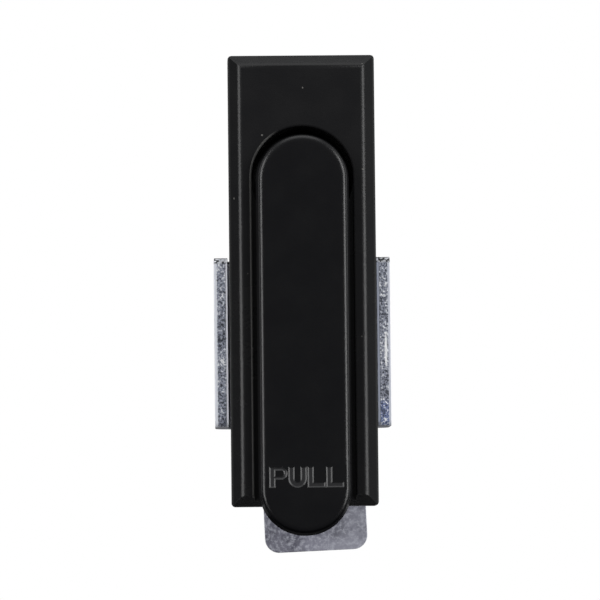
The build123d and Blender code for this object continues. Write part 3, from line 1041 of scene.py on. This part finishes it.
def dress(piece: Piece, slot: Slot, body: Body | None, node: str) -> None:
    """Gives a piece its finish, its body and the node it stands for.

    Args:
        piece: The piece.
        slot: The material slot.
        body: The body that it rides on, or None for a piece that bends between two.
        node: The CAD node that it replaces.
    """
    piece.data.materials.clear()
    piece.data.materials.append(FINISHES[slot].material())
    if body is not None:
        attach(piece, body.value)
    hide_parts(node)
    log.info("%s: %d faces", piece.name, len(piece.data.polygons))


@dataclass(frozen=True)
class PlainPiece:
    """A dressed copy of a CAD node that differs by its broken edges alone."""

    node: str
    slot: Slot
    body: Body
    name: str = ""
    rounding: Rounding = Rounding(0.15 * MM)

    def build(self) -> None:
        """Makes the piece."""
        piece = self.rounding.copy_of(self.node, self.name or f"{self.node}_dressed")
        dress(piece, self.slot, self.body, self.node)


@dataclass
class Bezel:
    """The black casting, whose front is the bezel."""

    edge: float = 0.2 * MM
    edge_segments: int = 3
    face_edge: float = 0.85 * MM
    face_segments: int = 5
    face_angle: float = 30.0
    flatness: float = 0.01 * MM
    recess_side: float = 12.6 * MM
    recess_top: float = 25.2 * MM

    def round_face(self, casting: Piece) -> None:
        """Rounds the lines where the bezel's face meets its bevels.

        Args:
            casting: The casting.
        """
        front = min(v.co.y for v in casting.data.vertices)
        shape = bmesh.new()
        shape.from_mesh(casting.data)
        outside = {
            vert
            for vert in shape.verts
            if abs(vert.co.y - front) < self.flatness
            and (abs(vert.co.x) > self.recess_side or vert.co.z > self.recess_top)
        }
        lines = [
            edge
            for edge in shape.edges
            if outside.issuperset(edge.verts)
            and len(edge.link_faces) == 2
            and edge.calc_face_angle() > math.radians(self.face_angle)
        ]
        bmesh.ops.bevel(
            shape,
            geom=lines,
            offset=self.face_edge,
            offset_type="OFFSET",
            affect="EDGES",
            segments=self.face_segments,
            profile=0.5,
            material=-1,
        )
        shape.to_mesh(casting.data)
        shape.free()
        log.info("rounded %d lines of the bezel's face", len(lines))

    def build(self) -> None:
        """Makes the casting."""
        casting = Rounding(0.0).copy_of("housing", "housing_cast")
        self.round_face(casting)
        Rounding(self.edge, self.edge_segments).soften(casting)
        dress(casting, Slot.BLACK_COAT, Body.LOCK, "housing")


@dataclass
class StrokeCutter:
    """A cutter for sunk letters, made of straight and bowed strokes with sloping walls."""

    front: float
    depth: float
    slope: float
    stroke: float
    rise: float = 0.04 * MM
    bow_step: float = 9.0

    def __post_init__(self) -> None:
        """Starts with no strokes."""
        self.shape = bmesh.new()

    def bar(self, left: float, right: float, low: float, high: float) -> None:
        """Adds a straight stroke.

        Args:
            left: Its left end.
            right: Its right end.
            low: Its lower end.
            high: Its upper end.
        """
        made = bmesh.ops.create_cube(self.shape, size=1.0)["verts"]
        for vert in made:
            grow, depth = self.level(vert.co.y > 0)
            across = (right - left) / 2 + grow
            along = (high - low) / 2 + grow
            vert.co = Vector(
                (
                    (left + right) / 2 + math.copysign(across, vert.co.x),
                    depth,
                    (low + high) / 2 + math.copysign(along, vert.co.z),
                )
            )

    def level(self, deep: bool) -> tuple[float, float]:
        """How much wider a stroke is at one of its two levels, and where that level is.

        Args:
            deep: Whether the level is the stroke's floor, not its top in front of the face.

        Returns:
            The growth on each side and the level's depth.
        """
        if deep:
            return -self.slope, self.front + self.depth
        return self.slope * self.rise / self.depth, self.front - self.rise

    def bow(self, middle: Span, radius: float, start: float, sweep: float, stroke: float) -> None:
        """Adds a bowed stroke.

        Args:
            middle: The bow's centre, across and up.
            radius: The radius of its outer edge.
            start: The angle at which it starts, from +X towards +Z, in degrees.
            sweep: The angle that it covers, in degrees.
            stroke: Its width.
        """
        square = bmesh.ops.create_circle(self.shape, cap_ends=True, segments=4, radius=1.0)
        made = square["verts"]
        for vert, (side, floor) in zip(made, ((1, True), (-1, True), (-1, False), (1, False))):
            grow, depth = self.level(floor)
            out = radius - stroke / 2 + side * (stroke / 2 + grow)
            vert.co = Vector((middle[0] + out, depth, middle[1]))
        face = made[0].link_faces[0]
        geometry = [face, *face.edges, *face.verts]
        centre = Vector((middle[0], self.front, middle[1]))
        turn = Matrix.Rotation(math.radians(-start), 3, "Y")
        bmesh.ops.rotate(self.shape, cent=centre, matrix=turn, verts=made)
        bmesh.ops.spin(
            self.shape,
            geom=geometry,
            cent=centre,
            axis=(0, -1, 0),
            angle=math.radians(sweep),
            steps=int(sweep / self.bow_step),
        )

    def piece(self, name: str) -> Piece:
        """The finished cutter.

        Args:
            name: The cutter's name.

        Returns:
            The cutter, with its faces outwards.
        """
        bmesh.ops.recalc_face_normals(self.shape, faces=self.shape.faces)
        mesh = bpy.data.meshes.new(name)
        self.shape.to_mesh(mesh)
        self.shape.free()
        return put_in_scene(name, mesh)


@dataclass
class PullLever:
    """The lever with the word that is sunk into its free end."""

    word: str = "PULL"
    letter_low: float = -68.0 * MM
    letter_high: float = -63.4 * MM
    letter_width: float = 4.0 * MM
    letter_lefts: tuple[float, ...] = (-8.0 * MM, -3.8 * MM, 0.42 * MM, 4.5 * MM)
    stroke: float = 1.32 * MM
    thin_stroke: float = 0.8 * MM
    cut_depth: float = 0.14 * MM
    wall_slope: float = 0.3 * MM
    inset: float = 0.02 * MM
    bowl_share: float = 0.3
    foot_length: float = 0.97
    foot_height: float = 0.9
    sharp_angle: float = 20.0

    def cut(self, cutter: StrokeCutter, letter: str, left: float) -> None:
        """Adds the strokes of a letter.

        Args:
            cutter: The cutter.
            letter: P, U or L.
            left: The letter's left edge.
        """
        low, high, right = self.letter_low, self.letter_high, left + self.letter_width
        inner = left + self.stroke / 2
        if letter == "U":
            radius = self.letter_width / 2
            turn = low + radius
            cutter.bar(left, left + self.stroke, turn - self.wall_slope, high)
            cutter.bar(right - self.stroke, right, turn - self.wall_slope, high)
            cutter.bow((left + radius, turn), radius, 180, 180, self.stroke)
            return
        cutter.bar(left, left + self.stroke, low, high)
        if letter == "P":
            bowl = (high - low) * self.bowl_share
            straight, top = right - bowl, high - self.inset
            for edge in (top - self.thin_stroke, top - 2 * bowl):
                cutter.bar(inner, straight + self.wall_slope, edge, edge + self.thin_stroke)
            cutter.bow((straight, top - bowl), bowl, -90, 180, self.thin_stroke)
        else:
            low += self.inset
            right = left + self.letter_width * self.foot_length
            cutter.bar(inner, right, low, low + self.stroke * self.foot_height)

    def build(self) -> None:
        """Sinks the word into a copy of the lever."""
        low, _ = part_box("lever")
        lever = Rounding(0.0).copy_of("lever", "lever_cast")
        cutter = StrokeCutter(low.y, self.cut_depth, self.wall_slope, self.stroke)
        for letter, left in zip(self.word, self.letter_lefts):
            self.cut(cutter, letter, left)
        tool = cutter.piece("word_cutter")
        cut = lever.modifiers.new("word", "BOOLEAN")
        cut.operation = "DIFFERENCE"
        cut.solver = "EXACT"
        cut.use_self = True
        cut.object = tool
        settle(lever)
        bpy.data.objects.remove(tool)
        Rounding(0.0, angle=self.sharp_angle).soften(lever)
        dress(lever, Slot.LEVER_COAT, Body.LEVER, "lever")


@dataclass
class Spring:
    """The torsion spring between lever and spindle."""

    wire_angle: float = 60.0
    held_until: Place = (7.08 * MM, 0, 0)
    swung_from: Place = (6.34 * MM, 0, 0)

    def build(self) -> None:
        """Makes the spring, which is left on no body."""
        spring = Rounding(0.0, angle=self.wire_angle).copy_of("lever_spring", "spring_wire")
        dress(spring, Slot.SPRING, None, "lever_spring")
        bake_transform(spring)


TURNING_NODES = {
    "spindle": Slot.SPINDLE,
    "spindle_o_ring": Slot.SEAL,
    "friction_washer": Slot.WASHER,
    "stop_washer": Slot.STOP,
    "tongue": Slot.TONGUE,
    "tongue_flat_washer": Slot.FASTENER,
    "tongue_spring_washer": Slot.FASTENER,
    "tongue_nut": Slot.FASTENER,
}
PIECES = (
    Bezel(),
    PlainPiece("door_gasket", Slot.GASKET, Body.LOCK, "gasket_sheet", Rounding(0.12 * MM)),
    PlainPiece("lever_pad_left", Slot.PAD, Body.LOCK, "rest_pad_left", Rounding(0.0)),
    PlainPiece("lever_pad_right", Slot.PAD, Body.LOCK, "rest_pad_right", Rounding(0.0)),
    PullLever(),
    PlainPiece("hinge_pin", Slot.PIN, Body.SPINDLE, "hinge_pin_ground", Rounding(0.08 * MM)),
    Spring(),
    *(PlainPiece(node, slot, Body.SPINDLE) for node, slot in TURNING_NODES.items()),
    PlainPiece("clamp_bracket", Slot.BRACKET, Body.LOCK, "bracket_sheet", Rounding(0.5 * MM, 4)),
    *(
        PlainPiece(f"clamp_{kind}_{place}", Slot.FASTENER, Body.LOCK)
        for place in ("upper", "lower")
        for kind in ("screw", "flat_washer", "spring_washer")
    ),
)


@dataclass(frozen=True)
class PhotoCamera:
    """The camera at the photograph's viewing angle."""

    aim: Place = (-0.764 * MM, -9.0 * MM, -26.54 * MM)
    azimuth: float = -1.442
    elevation: float = -3.455
    roll: float = 0.602
    distance: float = 0.9943
    lens: float = 270.3
    sensor: float = 36.0
    clip_start: float = 0.01

    def build(self) -> None:
        """Makes the camera."""
        a, e, r = (math.radians(v) for v in (self.azimuth, self.elevation, self.roll))
        back = Vector((math.sin(a) * math.cos(e), -math.cos(a) * math.cos(e), math.sin(e)))
        right = Vector((0, 0, 1)).cross(back).normalized()
        up = back.cross(right)
        turned_right = right * math.cos(r) - up * math.sin(r)
        turned_up = up * math.cos(r) + right * math.sin(r)
        data = bpy.data.cameras.new("camera")
        data.lens = self.lens
        data.sensor_width = self.sensor
        data.sensor_fit = "HORIZONTAL"
        data.clip_start = self.clip_start
        camera = put_in_scene("camera", data)
        turn = Matrix((turned_right, turned_up, back)).transposed().to_4x4()
        place = Vector(self.aim) + back * self.distance
        camera.matrix_world = Matrix.Translation(place) @ turn
        bpy.context.scene.camera = camera


@dataclass(frozen=True)
class Lamp:
    """A soft lamp that shines at the lock."""

    name: str
    place: Place
    size: Span
    glow: float
    target: Place = (0.0, 0.0, -0.03)

    def build(self) -> None:
        """Makes the lamp."""
        data = bpy.data.lights.new(self.name, "AREA")
        data.shape = "RECTANGLE"
        data.size, data.size_y = self.size
        data.energy = self.glow * math.pi * self.size[0] * self.size[1]
        lamp = put_in_scene(self.name, data)
        towards = Vector(self.target) - Vector(self.place)
        turn = towards.to_track_quat("-Z", "Y").to_matrix().to_4x4()
        lamp.matrix_world = Matrix.Translation(self.place) @ turn


@dataclass(frozen=True)
class Surroundings:
    """Dim surroundings that the camera sees as white, and metal and glass behind the lock too."""

    colour: Colour = (0.96, 0.98, 1.0)
    white: Colour = (1.0, 1.0, 1.0)
    backdrop_depth: Span = (0.1, 0.7)
    backdrop_height: Span = (-0.12, 0.1)
    sky_height: Span = (-0.2, 0.9)
    sky_glow: float = 0.42
    least_glow: float = 0.06
    right_reach: Span = (0.3, 1.0)
    right_height: Span = (-0.5, 0.0)
    right_glow: float = 0.25

    def build(self) -> None:
        """Makes the world."""
        world = bpy.data.worlds.new("surroundings")
        world.use_nodes = True
        board = Board(world.node_tree)
        rays = board.add("ShaderNodeLightPath").outputs
        x, y, z = board.axes(board.add("ShaderNodeTexCoord").outputs["Generated"])
        backdrop = board.step(y, *self.backdrop_depth), board.step(z, *self.backdrop_height)
        shiny = board.math("MAXIMUM", rays["Is Glossy Ray"], rays["Is Transmission Ray"])
        seen = board.math("MAXIMUM", rays["Is Camera Ray"], board.times(shiny, *backdrop))
        sky = board.step(z, *self.sky_height)
        sky = board.math("MULTIPLY_ADD", sky, self.sky_glow, self.least_glow)
        right = board.step(x, *self.right_reach), board.step(z, *self.right_height)
        glow = board.math("ADD", sky, board.times(*right, self.right_glow))
        missing = board.math("SUBTRACT", 1.0, glow)
        values = {
            "Color": board.mix(seen, self.colour, self.white),
            "Strength": board.math("MULTIPLY_ADD", missing, seen, glow),
        }
        board.fill(world.node_tree.nodes["Background"], values)
        bpy.context.scene.world = world


@dataclass(frozen=True)
class Floor:
    """The pale floor below and behind the lock."""

    height: float = -0.42
    radius: float = 0.5
    middle: float = 0.54
    sides: int = 96
    colour: Colour = (0.88, 0.88, 0.88)
    roughness: float = 0.9

    def build(self) -> None:
        """Makes the floor."""
        disc = bmesh.new()
        bmesh.ops.create_circle(disc, cap_ends=True, segments=self.sides, radius=self.radius)
        bmesh.ops.translate(disc, verts=disc.verts, vec=(0, self.middle, self.height))
        mesh = bpy.data.meshes.new("floor")
        disc.to_mesh(mesh)
        disc.free()
        floor = put_in_scene("floor", mesh)
        pale = bpy.data.materials.new("floor")
        pale.use_nodes = True
        shader = pale.node_tree.nodes["Principled BSDF"]
        shader.inputs["Base Color"].default_value = rgba(self.colour)
        shader.inputs["Roughness"].default_value = self.roughness
        mesh.materials.append(pale)


STUDIO = (
    PhotoCamera(),
    Surroundings(),
    Floor(),
    Lamp("right_lamp", (0.75, -0.72, 0.12), size=(0.42, 0.9), glow=7.6),
    Lamp("left_lamp", (-0.78, -0.68, 0.12), size=(0.42, 0.9), glow=6.8),
    Lamp("top_lamp", (0.0, -0.35, 0.85), size=(0.7, 0.85), glow=1.4),
    Lamp("rear_lamp", (0.3, 0.95, 0.55), size=(0.6, 0.6), glow=2.0),
)


def main() -> None:
    """Builds the lock's looks and the studio."""
    for part in (*PIECES, *STUDIO):
        part.build()
    bpy.context.scene.view_settings.view_transform = "Standard"


if __name__ == "__main__":
    main()
